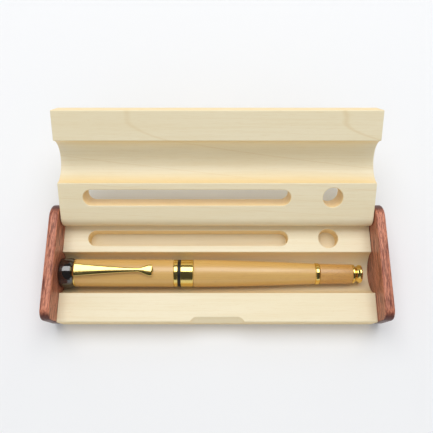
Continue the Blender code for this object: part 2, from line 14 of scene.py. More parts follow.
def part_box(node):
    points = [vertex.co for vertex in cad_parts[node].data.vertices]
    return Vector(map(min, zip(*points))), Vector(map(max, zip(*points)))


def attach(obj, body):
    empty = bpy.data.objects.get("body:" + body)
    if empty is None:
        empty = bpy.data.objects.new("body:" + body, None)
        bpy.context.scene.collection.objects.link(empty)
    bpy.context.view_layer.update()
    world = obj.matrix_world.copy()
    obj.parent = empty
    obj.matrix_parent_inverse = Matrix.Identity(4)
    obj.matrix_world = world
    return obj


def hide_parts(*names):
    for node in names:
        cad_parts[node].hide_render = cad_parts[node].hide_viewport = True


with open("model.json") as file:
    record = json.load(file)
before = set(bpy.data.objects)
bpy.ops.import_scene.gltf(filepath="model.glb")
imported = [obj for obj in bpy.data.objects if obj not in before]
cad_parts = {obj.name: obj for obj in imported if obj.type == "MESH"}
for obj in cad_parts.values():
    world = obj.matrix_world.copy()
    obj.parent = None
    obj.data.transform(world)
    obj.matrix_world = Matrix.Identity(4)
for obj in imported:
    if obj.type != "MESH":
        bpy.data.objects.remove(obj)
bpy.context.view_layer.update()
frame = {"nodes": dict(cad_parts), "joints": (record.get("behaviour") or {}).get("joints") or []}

MM = 0.001

# ---------------------------------------------------------------- what the frame says
JOINTS = {joint["name"]: joint for joint in frame["joints"]}
NODES = frame["nodes"]
BASE_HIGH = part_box("base_block")[1] / MM
CAP_LOW, CAP_HIGH = (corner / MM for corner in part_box("end_cap_right"))
LID_LOW, LID_HIGH = (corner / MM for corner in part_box("lid_block"))
HINGE = Vector(JOINTS["lid_hinge"]["pos_m"])
OPEN_ANGLE = radians(JOINTS["lid_hinge"]["range_deg"][1])
PEN_DIRECTION = Vector(JOINTS["piston_travel"]["axis"])
KNOB_START = 93.15            # the knob's place along the pen
PEN_ORIGIN = Vector(JOINTS["converter_twist"]["pos_m"]) - PEN_DIRECTION * KNOB_START * MM
PEN_TILT = atan2(-PEN_DIRECTION.z, PEN_DIRECTION.x)
PEN = Matrix.Translation(PEN_ORIGIN) @ Matrix.Rotation(pi / 2 + PEN_TILT, 4, "Y")

# ---------------------------------------------------------------- sizes of the case, in mm
HALF_DEPTH = BASE_HIGH.y
BLOCK_HEIGHT = BASE_HIGH.z
CASE_HEIGHT = CAP_HIGH.z
FACE = CAP_LOW.x              # inner face of an end cap
OUTSIDE = CAP_HIGH.x
GROOVE_Y = -4.25
BASE_GROOVE = (9.7, 0.15)     # radius, and how far the axis lies beyond the face that it opens
LID_GROOVE = (9.77, 1.17)
HINGE_RADIUS = 5.1
LID_FRONT = -(2 * HALF_DEPTH - HINGE_RADIUS)
LID_OUTER = BLOCK_HEIGHT - HINGE_RADIUS
SLOT_Y = 12.4
SLOT_RADIUS = 3.75
SLOT_X = (-62.2 + SLOT_RADIUS, 34.2 - SLOT_RADIUS)
HOLE_X = 53.7
HOLE_RADIUS = 4.65
POCKET_FLOOR = BLOCK_HEIGHT - 6.0
EDGE = 0.6
RIM = 0.45                    # rounding of groove, slot and hole rims
PIN_HOLE = 1.8
DOWEL_HOLE = 2.3
DOWEL_Z = BLOCK_HEIGHT / 2
DOWEL_Y = (-20.6, 20.5)
DOWEL_DEPTH = 10.3            # of the holes in the base
PIN_DEPTH = 9.0               # of the holes in the lid
CAP_DEPTH = 3.3               # of the holes in an end cap
END_PLAY = 0.05               # between the base and an end cap
HOLE_SPAN = 0.001             # the round hole is cut as a slot of almost no length
PAST = 4.0                    # how far a cutter starts outside the face that it enters
SHARP = radians(32)           # edges above this angle stay crisp


# ---------------------------------------------------------------- shapes
def rounded(points, closed=True, steps=5):
    """A line of (a, b, radius) points with its corners rounded."""
    line = []
    for i, (a, b, radius) in enumerate(points):
        here = Vector((a, b))
        if not radius or (not closed and i in (0, len(points) - 1)):
            line.append((a, b))
            continue
        before = (Vector(points[i - 1][:2]) - here).normalized()
        after = (Vector(points[(i + 1) % len(points)][:2]) - here).normalized()
        half = before.angle(after) / 2
        center = here + (before + after).normalized() * (radius / sin(half))
        first = here + before * (radius / tan(half)) - center
        last = here + after * (radius / tan(half)) - center
        start = atan2(first.y, first.x)
        turn = (atan2(last.y, last.x) - start + pi) % (2 * pi) - pi
        line += arc(center, radius, start, start + turn, steps)
    return line


def arc(center, radius, start, end, steps):
    """Points on an arc, both ends included."""
    return [(center[0] + radius * cos(start + (end - start) * k / steps),
             center[1] + radius * sin(start + (end - start) * k / steps))
            for k in range(steps + 1)]


def mesh_from(bm, name):
    """A finished mesh in metres: outward normals, smooth except over the sharp angle."""
    bmesh.ops.recalc_face_normals(bm, faces=bm.faces)
    bmesh.ops.scale(bm, vec=(MM, MM, MM), verts=bm.verts)
    mesh = bpy.data.meshes.new(name)
    bm.to_mesh(mesh)
    bm.free()
    mesh.shade_smooth()
    mesh.set_sharp_from_angle(angle=SHARP)
    return mesh


def loft_mesh(name, rings):
    """A closed body through rings of equal point counts."""
    bm = bmesh.new()
    rows = [[bm.verts.new(point) for point in ring] for ring in rings]
    for row, following in zip(rows, rows[1:]):
        for i, vert in enumerate(row):
            j = (i + 1) % len(row)
            bm.faces.new((vert, row[j], following[j], following[i]))
    bm.faces.new(rows[0])
    bm.faces.new(rows[-1])
    return mesh_from(bm, name)


def inset(outline, amount):
    """A counterclockwise outline moved inwards."""
    moved = []
    for i, (a, b) in enumerate(outline):
        before = outline[i - 1]
        after = outline[(i + 1) % len(outline)]
        tangent = Vector((after[0] - before[0], after[1] - before[1])).normalized()
        moved.append((a - tangent.y * amount, b + tangent.x * amount))
    return moved


def block_mesh(name, outline, low, high, low_rim, high_rim, steps=5):
    """An outline in Y and Z drawn along X, with rounded rims at both ends."""
    stations = []
    for x, rim, side in ((low, low_rim, -1), (high, high_rim, 1)):
        turns = [pi / 2 * k / steps for k in range(steps + 1)]
        run = [(x - side * rim * (1 - sin(turn)), rim * (1 - cos(turn))) for turn in turns]
        stations += run if side > 0 else run[::-1]
    return loft_mesh(name, [[(x, y, z) for y, z in inset(outline, amount)]
                            for x, amount in stations])


def turned_mesh(name, profile, closed=True, segments=96):
    """A profile of (radius, distance) points turned about Z. An open one ends on the axis."""
    bm = bmesh.new()
    rows = []
    for radius, distance in profile:
        if radius < 1e-6:
            rows.append([bm.verts.new((0, 0, distance))] * segments)
            continue
        rows.append([bm.verts.new((radius * cos(2 * pi * k / segments),
                                   radius * sin(2 * pi * k / segments), distance))
                     for k in range(segments)])
    pairs = list(zip(rows, rows[1:]))
    if closed:
        pairs.append((rows[-1], rows[0]))
    for row, following in pairs:
        for i in range(segments):
            j = (i + 1) % segments
            corners = [row[i], row[j], following[j], following[i]]
            bm.faces.new([v for k, v in enumerate(corners) if v not in corners[:k]])
    return mesh_from(bm, name)


def piece(name, mesh, material, body, slot, *nodes, place=None):
    """A shown piece that rides on a body and stands for CAD nodes."""
    obj = bpy.data.objects.new(name, mesh)
    bpy.context.scene.collection.objects.link(obj)
    obj.data.materials.clear()
    obj.data.materials.append(material)
    if place is not None:
        obj.matrix_world = place
    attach(obj, body)
    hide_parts(*nodes)
    return obj


def cut(mesh, cutters):
    """A mesh less the cutter meshes, with the same finish."""
    scene = bpy.context.scene
    obj = bpy.data.objects.new("cutting", mesh)
    scene.collection.objects.link(obj)
    tools = []
    for cutter in cutters:
        tool = bpy.data.objects.new("cutter", cutter)
        scene.collection.objects.link(tool)
        modifier = obj.modifiers.new("cut", "BOOLEAN")
        modifier.operation = "DIFFERENCE"
        modifier.solver = "EXACT"
        modifier.object = tool
        tools.append(tool)
    bpy.context.view_layer.update()
    finished = obj.evaluated_get(bpy.context.evaluated_depsgraph_get())
    result = bpy.data.meshes.new_from_object(finished)
    for done in tools + [obj]:
        bpy.data.objects.remove(done, do_unlink=True)
    result.shade_smooth()
    result.set_sharp_from_angle(angle=SHARP)
    return result


def even_normals(obj):
    """Let the large faces keep their own normals beside narrow roundings."""
    modifier = obj.modifiers.new("even normals", "WEIGHTED_NORMAL")
    modifier.keep_sharp = True
    modifier.weight = 100


def groove_line(y, face, side, radius, above):
    """The groove's section with rounded rims, rear to front. It opens up if side is 1."""
    drop = above + RIM
    reach = sqrt((radius + RIM) ** 2 - drop ** 2)
    tip = asin(drop / (radius + RIM))
    rear = arc((reach, -RIM), RIM, pi / 2, pi - tip, 5)
    bottom = arc((0, above), radius, -tip, tip - pi, 56)
    front = [(-a, b) for a, b in rear[::-1]]
    return [(y + a, face + side * b) for a, b in rear + bottom[1:-1] + front]


def base_section():
    """The base's section in Y and Z."""
    groove = [(y, z, 0) for y, z in groove_line(GROOVE_Y, BLOCK_HEIGHT, 1, *BASE_GROOVE)]
    return rounded([(-HALF_DEPTH, 0, EDGE), (HALF_DEPTH, 0, EDGE), (HALF_DEPTH, BLOCK_HEIGHT, EDGE)]
                   + groove + [(-HALF_DEPTH, BLOCK_HEIGHT, EDGE)])


def lid_section():
    """The lid's section in Y and Z about the hinge, as it lies when closed."""
    inner = -HINGE_RADIUS
    stop = OPEN_ANGLE - pi / 2
    stop_y = (HINGE_RADIUS - LID_OUTER * sin(stop)) / cos(stop)
    hinge_y = HINGE.y / MM
    groove = [(y, z, 0)
              for y, z in groove_line(GROOVE_Y - hinge_y, inner, -1, *LID_GROOVE)[::-1]]
    knuckle = [(y, z, 0) for y, z in arc((0, 0), HINGE_RADIUS, -pi / 2, stop, 24)]
    return rounded([(LID_FRONT, inner, EDGE)] + groove + knuckle
                   + [(stop_y, LID_OUTER, EDGE), (LID_FRONT, LID_OUTER, EDGE)])


def stadium(low, high, y, radius, steps=16):
    """A slot's outline in X and Y."""
    return (arc((high, y), radius, -pi / 2, pi / 2, steps)
            + arc((low, y), radius, pi / 2, 3 * pi / 2, steps))


def flare(face, side):
    """How a cutter widens to round the rim of its hole: (distance, extra radius) to beyond the face."""
    turns = [radians(80) * k / 5 for k in range(6)]
    return ([(face - side * RIM * (1 - sin(turn)), RIM * (1 - cos(turn))) for turn in turns]
            + [(face + side * 0.3, RIM), (face + side * 2, RIM)])


def pocket_cutters(origin, stations):
    """Cutters for the card slot and the pen hole. Stations are (distance, extra radius)."""
    y = SLOT_Y - origin
    places = ((SLOT_X[0], SLOT_X[1], SLOT_RADIUS), (HOLE_X, HOLE_X + HOLE_SPAN, HOLE_RADIUS))
    return [loft_mesh("cutter", [[(a, b, z) for a, b in stadium(low, high, y, radius + extra)]
                                 for z, extra in stations])
            for low, high, radius in places]


def rod_cutter(start, end, y, z, radius, segments=32):
    """A round cutter along X."""
    last = segments - 1
    outline = arc((y, z), radius, 0, 2 * pi * last / segments, last)
    return loft_mesh("cutter", [[(x, a, b) for a, b in outline] for x in (start, end)])


def notch_cutter():
    """The thumb notch: a sloping cut across the front top edge, drawn out at both ends."""
    rise = tan(radians(50))
    beyond = 1.5
    cutter_half = 14.3
    notch_half = 13.0
    run_out = 3.6
    notch_depth = 2.7
    edge = -HALF_DEPTH
    rings = []
    for k in range(-26, 27):
        x = cutter_half * k / 26
        share = min(1.0, max(0.0, (notch_half - abs(x)) / run_out))
        depth = notch_depth * (1 - (1 - share) ** 2) - 0.2
        top = BLOCK_HEIGHT + beyond * rise
        rings.append([(x, edge + depth + beyond, top),
                      (x, edge - beyond, BLOCK_HEIGHT - (depth + beyond) * rise),
                      (x, edge - beyond, top)])
    return loft_mesh("cutter", rings)


# ---------------------------------------------------------------- materials
class Shader:
    """The nodes of one material. Coordinates are the piece's own, with the grain along the first."""

    def __init__(self, name, grain="X", turn=0.0):
        self.material = bpy.data.materials.new(name)
        self.material.use_nodes = True
        self.tree = self.material.node_tree
        self.bsdf = self.tree.nodes["Principled BSDF"]
        coordinates = self.node("ShaderNodeTexCoord")
        place = coordinates.outputs["Object"]
        self.facing = coordinates.outputs["Normal"]
        if turn:
            place = self.turned(place, turn)
            self.facing = self.turned(self.facing, turn)
        parts = self.node("ShaderNodeSeparateXYZ", place).outputs
        order = {"X": (0, 1, 2), "Y": (1, 0, 2), "Z": (2, 0, 1)}[grain]
        self.axes = [parts[i] for i in order]
        self.place = self.node("ShaderNodeCombineXYZ", *self.axes).outputs[0]

    def turned(self, vector, angle):
        """A vector turned about X."""
        made = self.node("ShaderNodeVectorRotate", vector, rotation_type="X_AXIS")
        made.inputs["Angle"].default_value = angle
        return made.outputs[0]

    def node(self, kind, *inputs, **settings):
        """A node with its first inputs linked or set."""
        made = self.tree.nodes.new(kind)
        for key, value in settings.items():
            setattr(made, key, value)
        for socket, value in zip(made.inputs, inputs):
            self.give(socket, value)
        return made

    def give(self, socket, value):
        """Link an output to a socket, or set a plain value."""
        if isinstance(value, bpy.types.NodeSocket):
            self.tree.links.new(value, socket)
        elif value is not None:
            socket.default_value = value

    def shine(self, **values):
        """Set or link inputs of the surface shader by name."""
        for key, value in values.items():
            self.give(self.bsdf.inputs[key.replace("_", " ")], value)

    def math(self, operation, *values):
        """One arithmetic step."""
        return self.node("ShaderNodeMath", *values, operation=operation).outputs[0]

    def noise(self, scales, detail=3.0, rough=0.55, twist=0.0):
        """Noise with its own scale, per metre, along each axis."""
        spread = self.node("ShaderNodeVectorMath", self.place, scales, operation="MULTIPLY")
        made = self.node("ShaderNodeTexNoise")
        self.give(made.inputs["Vector"], spread.outputs[0])
        for key, value in (("Scale", 1.0), ("Detail", detail), ("Roughness", rough),
                           ("Distortion", twist)):
            made.inputs[key].default_value = value
        return made.outputs[0]

    def ramp(self, value, low, high, start=0.0, end=1.0):
        """A value mapped smoothly from low..high to start..end."""
        return self.node("ShaderNodeMapRange", value, low, high, start, end,
                         interpolation_type="SMOOTHSTEP").outputs[0]

    def mix(self, share, first, second):
        """Two colours mixed."""
        made = self.node("ShaderNodeMix", data_type="RGBA")
        for i, value in ((0, share), (6, first), (7, second)):
            if isinstance(value, tuple):
                value = (*value, 1.0)
            self.give(made.inputs[i], value)
        return made.outputs[2]

    def bump(self, height, depth, normal=None):
        """Relief of a height from 0 to 1, with its depth in mm."""
        made = self.node("ShaderNodeBump")
        made.inputs["Distance"].default_value = depth * MM
        self.give(made.inputs["Height"], height)
        if normal is not None:
            self.give(made.inputs["Normal"], normal)
        return made.outputs[0]


def wood(name, grain, light, mid, dark, streak, pore, shine, figure=None, contrast=1.0, turn=0.0,
         painted_wall_shade=None):
    """Wood: broad shade, fine streaks, pores and a figure, with relief and roughness to match.

    Streak is (length, width) in mm; pore is (length, width, share, strength). Faces that stand
    square to the board's flat side are painted a warmer colour: painted shade standing in for warm bounce
    light on groove and slot walls.
    """
    sh = Shader(name, grain, turn)
    broad = sh.noise((9, 75, 75), 2.0, 0.5, 0.4)
    run = sh.noise((1000 / streak[0], 1000 / streak[1], 1000 / streak[1]), 4.0, 0.6, 0.15)
    fibre = sh.noise((1000 / 6, 1000 / 0.22, 1000 / 0.22), 2.0, 0.5)
    dots = sh.noise((1000 / pore[0], 1000 / pore[1], 1000 / pore[1]), 1.0, 0.5)
    pores = sh.ramp(dots, pore[2], pore[2] + 0.07)
    color = sh.mix(sh.ramp(broad, 0.35, 0.68, 0.0, 0.55 * contrast), light, mid)
    color = sh.mix(sh.ramp(run, 0.42, 0.66, 0.0, min(1.0, 0.6 * contrast)), color, mid)
    if figure is not None:
        color = sh.mix(figure(sh), color, dark)
    if painted_wall_shade is not None:
        # Painted shade: upright walls are tinted warmer in place of the warm bounce light in grooves and
        # slots
        upright = sh.math("ABSOLUTE", sh.node("ShaderNodeSeparateXYZ", sh.facing).outputs[2])
        color = sh.mix(sh.ramp(upright, 0.15, 0.9, 0.85, 0.0), color, painted_wall_shade)
    color = sh.mix(sh.ramp(fibre, 0.5, 0.8, 0.0, 0.25 * contrast), color, dark)
    color = sh.mix(sh.math("MULTIPLY", pores, pore[3]), color, dark)
    relief = sh.math("SUBTRACT", sh.math("MULTIPLY", fibre, 0.35), pores)
    relief = sh.math("ADD", relief, sh.math("MULTIPLY", run, 0.4))
    normal = sh.bump(relief, shine["depth"])
    rough = sh.ramp(run, 0.3, 0.75, shine["rough"][0], shine["rough"][1])
    sh.shine(Base_Color=color, Roughness=rough, Normal=normal, Coat_Weight=shine["coat"],
             Coat_Roughness=shine["coat_rough"], Specular_IOR_Level=shine.get("level", 0.5))
    return sh.material


def end_grain_and_painted_shade(axis):
    """Faces across the grain are darker: partly the real darker end grain, which soaks up more finish, and
    partly painted shade, as on the cap fronts that face away from the light.
    """
    def figure(sh):
        across = sh.node("ShaderNodeSeparateXYZ", sh.facing).outputs[axis]
        # Painted shade mixed with real end-grain darkening on faces across the grain
        shade = sh.ramp(sh.math("ABSOLUTE", across), 0.2, 0.7, 0.0, 0.93)
        streaks = sh.noise((120, 600, 600), 3.0, 0.6)
        dark_band = sh.ramp(streaks, 0.54, 0.68, 0.0, 0.55)
        return sh.math("MAXIMUM", shade, dark_band)
    return figure


def growth_lines(start, edge, bend):
    """Faint growth lines that leave an edge of the block square and sweep along it."""
    def figure(sh):
        straight = 5.0        # mm from the edge before a line begins to sweep
        reach = 7.7
        spacing = 96.0
        half_width = 0.024    # as a share of the spacing
        inwards = sh.math("SUBTRACT", sh.math("MULTIPLY", sh.axes[1], 1000.0), edge)
        past = sh.math("DIVIDE", sh.math("SUBTRACT", inwards, straight), reach)
        swept = sh.math("MULTIPLY", sh.math("POWER", sh.math("MAXIMUM", past, 0.0), 1.9), bend)
        waver = sh.math("MULTIPLY", sh.noise((30, 90, 90), 2.0), 5.0)
        along = sh.math("SUBTRACT", sh.math("MULTIPLY", sh.axes[0], 1000.0), start)
        ring = sh.math("SUBTRACT", sh.math("SUBTRACT", along, swept), waver)
        off = sh.math("ABSOLUTE", sh.math("WRAP", sh.math("DIVIDE", ring, spacing), 0.5, -0.5))
        line = sh.ramp(off, 0.0, half_width, 0.3, 0.0)
        return sh.math("MULTIPLY", line, sh.ramp(sh.noise((14, 50, 50), 1.0), 0.2, 0.5, 0.6, 1.0))
    return figure


def metal(name, color, rough, scratch, grain="Z"):
    """Polished or drawn metal with fine scratches and uneven gloss."""
    sh = Shader(name, grain)
    haze = sh.noise((160, 160, 160), 3.0, 0.6)
    lines = sh.noise((9000, 500, 500), 2.0, 0.6)
    tint = sh.mix(sh.ramp(haze, 0.3, 0.75, 0.0, 0.35), color, tuple(c * 0.86 for c in color))
    sh.shine(Base_Color=tint, Metallic=1.0, Normal=sh.bump(lines, scratch),
             Roughness=sh.ramp(haze, 0.3, 0.7, rough[0], rough[1]))
    return sh.material


def resin(name, color, rough, ior, depth=0.001, clear=0.0):
    """Moulded resin: a faint orange-peel surface and handling marks."""
    sh = Shader(name, "Z")
    peel = sh.noise((900, 900, 900), 2.0, 0.5)
    marks = sh.noise((240, 700, 700), 3.0, 0.6, 0.5)
    worn = tuple(c * 1.5 + 0.003 for c in color)
    tint = sh.mix(sh.ramp(marks, 0.35, 0.8, 0.0, 0.5), color, worn)
    sh.shine(Base_Color=tint, IOR=ior, Normal=sh.bump(peel, depth), Transmission_Weight=clear,
             Roughness=sh.ramp(marks, 0.3, 0.75, rough[0], rough[1]))
    return sh.material


# The maple's wall colour is painted shade: upright groove and slot walls are tinted warmer in place of
# bounce light
MAPLE = {"light": (0.86, 0.76, 0.53), "mid": (0.82, 0.70, 0.45), "dark": (0.68, 0.48, 0.19),
         "painted_wall_shade": (0.93, 0.69, 0.33),
         "streak": (55, 1.3), "pore": (1.6, 0.3, 0.71, 0.3),
         "shine": {"rough": (0.40, 0.52), "depth": 0.006, "coat": 0.0, "coat_rough": 0.3, "level": 0.8}}
maple_base = wood("maple_base", "X", **MAPLE)
maple_lid = wood("maple_lid", "X", figure=growth_lines(-41.6, LID_FRONT, 14.3), turn=OPEN_ANGLE,
                 **MAPLE)
# Rosewood's faces across the grain are painted darker: partly real end grain, partly painted shade
rosewood = wood("rosewood", "Y", (0.66, 0.25, 0.145), (0.23, 0.050, 0.026), (0.07, 0.014, 0.009),
                (8, 0.75), (2.2, 0.22, 0.56, 0.6),
                {"rough": (0.36, 0.50), "depth": 0.02, "coat": 0.05, "coat_rough": 0.3, "level": 0.4},
                figure=end_grain_and_painted_shade(1), contrast=1.5)
pen_wood = wood("pen_wood", "Z", (0.72, 0.44, 0.125), (0.64, 0.36, 0.085), (0.35, 0.135, 0.03),
                (34, 0.8), (1.8, 0.24, 0.68, 0.3),
                {"rough": (0.34, 0.44), "depth": 0.003, "coat": 0.3, "coat_rough": 0.3, "level": 1.0})
tail_wood = wood("tail_wood", "Z", (0.72, 0.41, 0.11), (0.56, 0.28, 0.06), (0.24, 0.08, 0.02),
                 (7, 0.5), (1.5, 0.25, 0.62, 0.5),
                 {"rough": (0.34, 0.44), "depth": 0.004, "coat": 0.2, "coat_rough": 0.3, "level": 1.0},
                 contrast=1.5)
beech = wood("beech", "X", (0.60, 0.42, 0.26), (0.50, 0.33, 0.19), (0.30, 0.17, 0.09),
             (12, 0.6), (0.9, 0.2, 0.62, 0.6),
             {"rough": (0.55, 0.7), "depth": 0.02, "coat": 0.0, "coat_rough": 0.3})
gold = metal("gold_plate", (0.94, 0.72, 0.24), (0.13, 0.20), 0.0006)
brass = metal("brass", (0.72, 0.50, 0.20), (0.24, 0.40), 0.003)
steel = metal("steel", (0.56, 0.56, 0.57), (0.22, 0.36), 0.002, "X")
black_resin = resin("black_resin", (0.008, 0.006, 0.005), (0.06, 0.12), 2.1)
matte_black = resin("matte_black", (0.009, 0.008, 0.008), (0.42, 0.55), 1.45)
clear_resin = resin("clear_resin", (0.72, 0.74, 0.76), (0.05, 0.12), 1.49, clear=0.9)
seal_rubber = resin("seal_rubber", (0.03, 0.03, 0.03), (0.55, 0.75), 1.5, 0.004)

# ---------------------------------------------------------------- the case
pocket = [(POCKET_FLOOR, -0.5), (POCKET_FLOOR + 0.15, -0.15), (POCKET_FLOOR + 0.5, 0.0)]
base_cutters = pocket_cutters(0, pocket + flare(BLOCK_HEIGHT, 1)) + [notch_cutter()]
base_end = FACE - END_PLAY
for side in (-1, 1):
    for dowel_y in DOWEL_Y:
        base_cutters.append(rod_cutter(side * (FACE - DOWEL_DEPTH), side * (FACE + PAST),
                                       dowel_y, DOWEL_Z, DOWEL_HOLE))
base_mesh = block_mesh("base_block", base_section(), -base_end, base_end, 0.2, 0.2)
base = piece("base_block_wood", cut(base_mesh, base_cutters), maple_base, "case_base", "maple",
             "base_block")
even_normals(base)

through = flare(-HINGE_RADIUS, -1)[::-1] + flare(LID_OUTER, 1)
lid_cutters = pocket_cutters(HINGE.y / MM, through)
for side in (-1, 1):
    lid_cutters.append(rod_cutter(side * (LID_HIGH.x - PIN_DEPTH), side * (LID_HIGH.x + PAST),
                                  0, 0, PIN_HOLE))
lid_mesh = block_mesh("lid_block", lid_section(), LID_LOW.x, LID_HIGH.x, RIM, RIM)
lid_mesh = cut(lid_mesh, lid_cutters)
lid_mesh.transform(Matrix.Rotation(-OPEN_ANGLE, 4, "X"))
lid = piece("lid_block_wood", lid_mesh, maple_lid, "case_lid", "maple", "lid_block",
            place=Matrix.Translation(HINGE))
even_normals(lid)

cap_outline = rounded([(-HALF_DEPTH, 0, 5.0), (HALF_DEPTH, 0, 5.0), (HALF_DEPTH, CASE_HEIGHT, 8.0),
                       (-HALF_DEPTH, CASE_HEIGHT, 5.0)], steps=12)
for side, name in ((-1, "left"), (1, "right")):
    ends = ((-OUTSIDE, -FACE, 1.1, 0.7), (FACE, OUTSIDE, 0.7, 1.1))[side > 0]
    cap_mesh = block_mesh("end_cap", cap_outline, *ends, steps=6)
    span = (side * (FACE - PAST), side * (FACE + CAP_DEPTH))
    holes = [rod_cutter(*span, HINGE.y / MM, HINGE.z / MM, PIN_HOLE)]
    holes += [rod_cutter(*span, y, DOWEL_Z, DOWEL_HOLE) for y in DOWEL_Y]
    cap = piece(f"end_cap_{name}_wood", cut(cap_mesh, holes), rosewood, "case_base", "rosewood",
                f"end_cap_{name}")
    even_normals(cap)


# ---------------------------------------------------------------- the pen
def pen_piece(name, profile, material, slot, node, closed=True):
    """A turned piece of the pen."""
    return piece(name, turned_mesh(name, profile, closed), material, "pen", slot, node, place=PEN)


# Distances run along the pen from the front face of the black finial
CAP_RADIUS = 6.45
CAP_BORE = 5.55
BAND_RADIUS = 6.5
BARREL_BORE = 3.9
SLIT = 0.05                   # between neighbouring pieces of the pen
FINIAL_SEAT = 6.45            # the finial ends here and its stud begins
STUD_END = 12.0
WASHER = (6.5, 7.15)
CAP_WOOD = (7.2, 53.3)
INLAY = (55.2, 56.6)
BAND_END = 62.5
BARREL_START = 62.6
TAPER_START = 62.8
BARREL_ROUND = 0.15           # left out of the outer profile at the barrel's tail
BARREL_END = 120.4
TAIL_RING_END = 122.6
TAIL_WOOD_END = 138.3
TAIL_STUD = 132.3
PEN_END = 143.3

pen_piece("cap_finial_knob",
          rounded([(0, STUD_END, 0), (3.0, STUD_END, 0.3), (3.0, FINIAL_SEAT, 0),
                   (6.2, FINIAL_SEAT, 0.25), (6.85, 5.35, 0.5), (6.85, 0, 0.6), (0, 0, 0)],
                  closed=False),
          black_resin, "black_resin", "cap_finial", closed=False)
pen_piece("clip_washer_disc",
          rounded([(6.5, WASHER[0], 0.2), (6.5, WASHER[1], 0.2), (3.15, WASHER[1], 0),
                   (3.15, WASHER[0], 0)]),
          gold, "gold_plate", "clip_washer")
pen_piece("cap_sleeve_wood",
          rounded([(CAP_RADIUS, CAP_WOOD[0], 0.15), (CAP_RADIUS, CAP_WOOD[1] - SLIT, 0.15),
                   (CAP_BORE, CAP_WOOD[1] - SLIT, 0), (CAP_BORE, CAP_WOOD[0], 0)]),
          pen_wood, "pen_wood", "cap_sleeve")
pen_piece("band_upper_gold",
          rounded([(BAND_RADIUS, CAP_WOOD[1], 0.3), (BAND_RADIUS, INLAY[0] - SLIT, 0.12),
                   (CAP_BORE, INLAY[0] - SLIT, 0), (CAP_BORE, CAP_WOOD[1], 0)]),
          gold, "gold_plate", "band_upper_ring")
pen_piece("band_inlay_black",
          rounded([(6.4, INLAY[0], 0.05), (6.4, INLAY[1], 0.05), (CAP_BORE, INLAY[1], 0),
                   (CAP_BORE, INLAY[0], 0)]),
          matte_black, "black_resin", "band_inlay_ring")
pen_piece("band_lip_gold",
          rounded([(BAND_RADIUS, INLAY[1] + SLIT, 0.12), (BAND_RADIUS, BAND_END, 0.35),
                   (CAP_BORE, BAND_END, 0), (CAP_BORE, INLAY[1] + SLIT, 0)]),
          gold, "gold_plate", "band_lip_ring")


def barrel_radius(distance):
    """Outer radius of the barrel's wood: nearly straight at first, then drawn in to the tail."""
    share = (distance - TAPER_START) / (BARREL_END - TAPER_START)
    return CAP_RADIUS + (4.9 - CAP_RADIUS) * max(0.0, share) ** 1.6


shoulder = TAPER_START + BARREL_ROUND
profile_length = BARREL_END - BARREL_ROUND - shoulder
stations = [shoulder + profile_length * k / 40 for k in range(41)]
barrel = [(CAP_RADIUS - 0.2, BARREL_START)]
barrel += [(barrel_radius(distance), distance) for distance in stations]
barrel += [(4.8, BARREL_END), (BARREL_BORE, BARREL_END), (BARREL_BORE, BARREL_START)]
pen_piece("barrel_sleeve_wood", barrel, pen_wood, "pen_wood", "barrel_sleeve")
pen_piece("tail_ring_gold",
          rounded([(4.75, BARREL_END + SLIT, 0.1), (4.75, 120.6, 0.05),
                   (5.15, 120.65, 0.45), (5.15, 122.4, 0.45),
                   (4.7, 122.5, 0.1), (4.7, TAIL_RING_END, 0.05), (BARREL_BORE, TAIL_RING_END, 0),
                   (BARREL_BORE, BARREL_END + SLIT, 0)]),
          gold, "gold_plate", "tail_ring")
pen_piece("tail_sleeve_wood",
          rounded([(4.85, TAIL_RING_END + SLIT, 0.15), (4.6, TAIL_WOOD_END, 0.15),
                   (BARREL_BORE, TAIL_WOOD_END, 0), (BARREL_BORE, TAIL_RING_END + SLIT, 0)]),
          tail_wood, "pen_wood", "tail_sleeve")
pen_piece("end_finial_gold",
          rounded([(0, TAIL_STUD, 0), (3.3, TAIL_STUD, 0.2), (3.3, TAIL_WOOD_END + SLIT, 0),
                   (4.55, TAIL_WOOD_END + SLIT, 0.3), (4.55, 139.3, 0.35), (3.35, 140.65, 0.9),
                   (4.4, 141.9, 0.4), (4.4, 142.8, 0.35), (3.1, PEN_END, 0.5), (0, PEN_END, 0)],
                  closed=False),
          gold, "gold_plate", "end_finial", closed=False)


CLIP_HEIGHT = 7.95            # the arm's centreline over the pen's axis
CLIP_RISE = 1.5               # from the washer up to the arm
CLIP_ROOT = 0.07              # share of the clip that bends up from the washer
CLIP_TIP = 0.82               # share at which the teardrop begins
CLIP_BEND = (6.8, 0.9)        # start and length of the bend
CLIP_STRAIGHT = (7.7, 43.9)
CLIP_WIDTHS = (5.9, 1.95)     # at the root and at the neck
CLIP_SWELL = 3.4              # added at the teardrop
CLIP_DROP = 0.75              # of the teardrop towards the cap
CLIP_HALF_THICK = 0.5


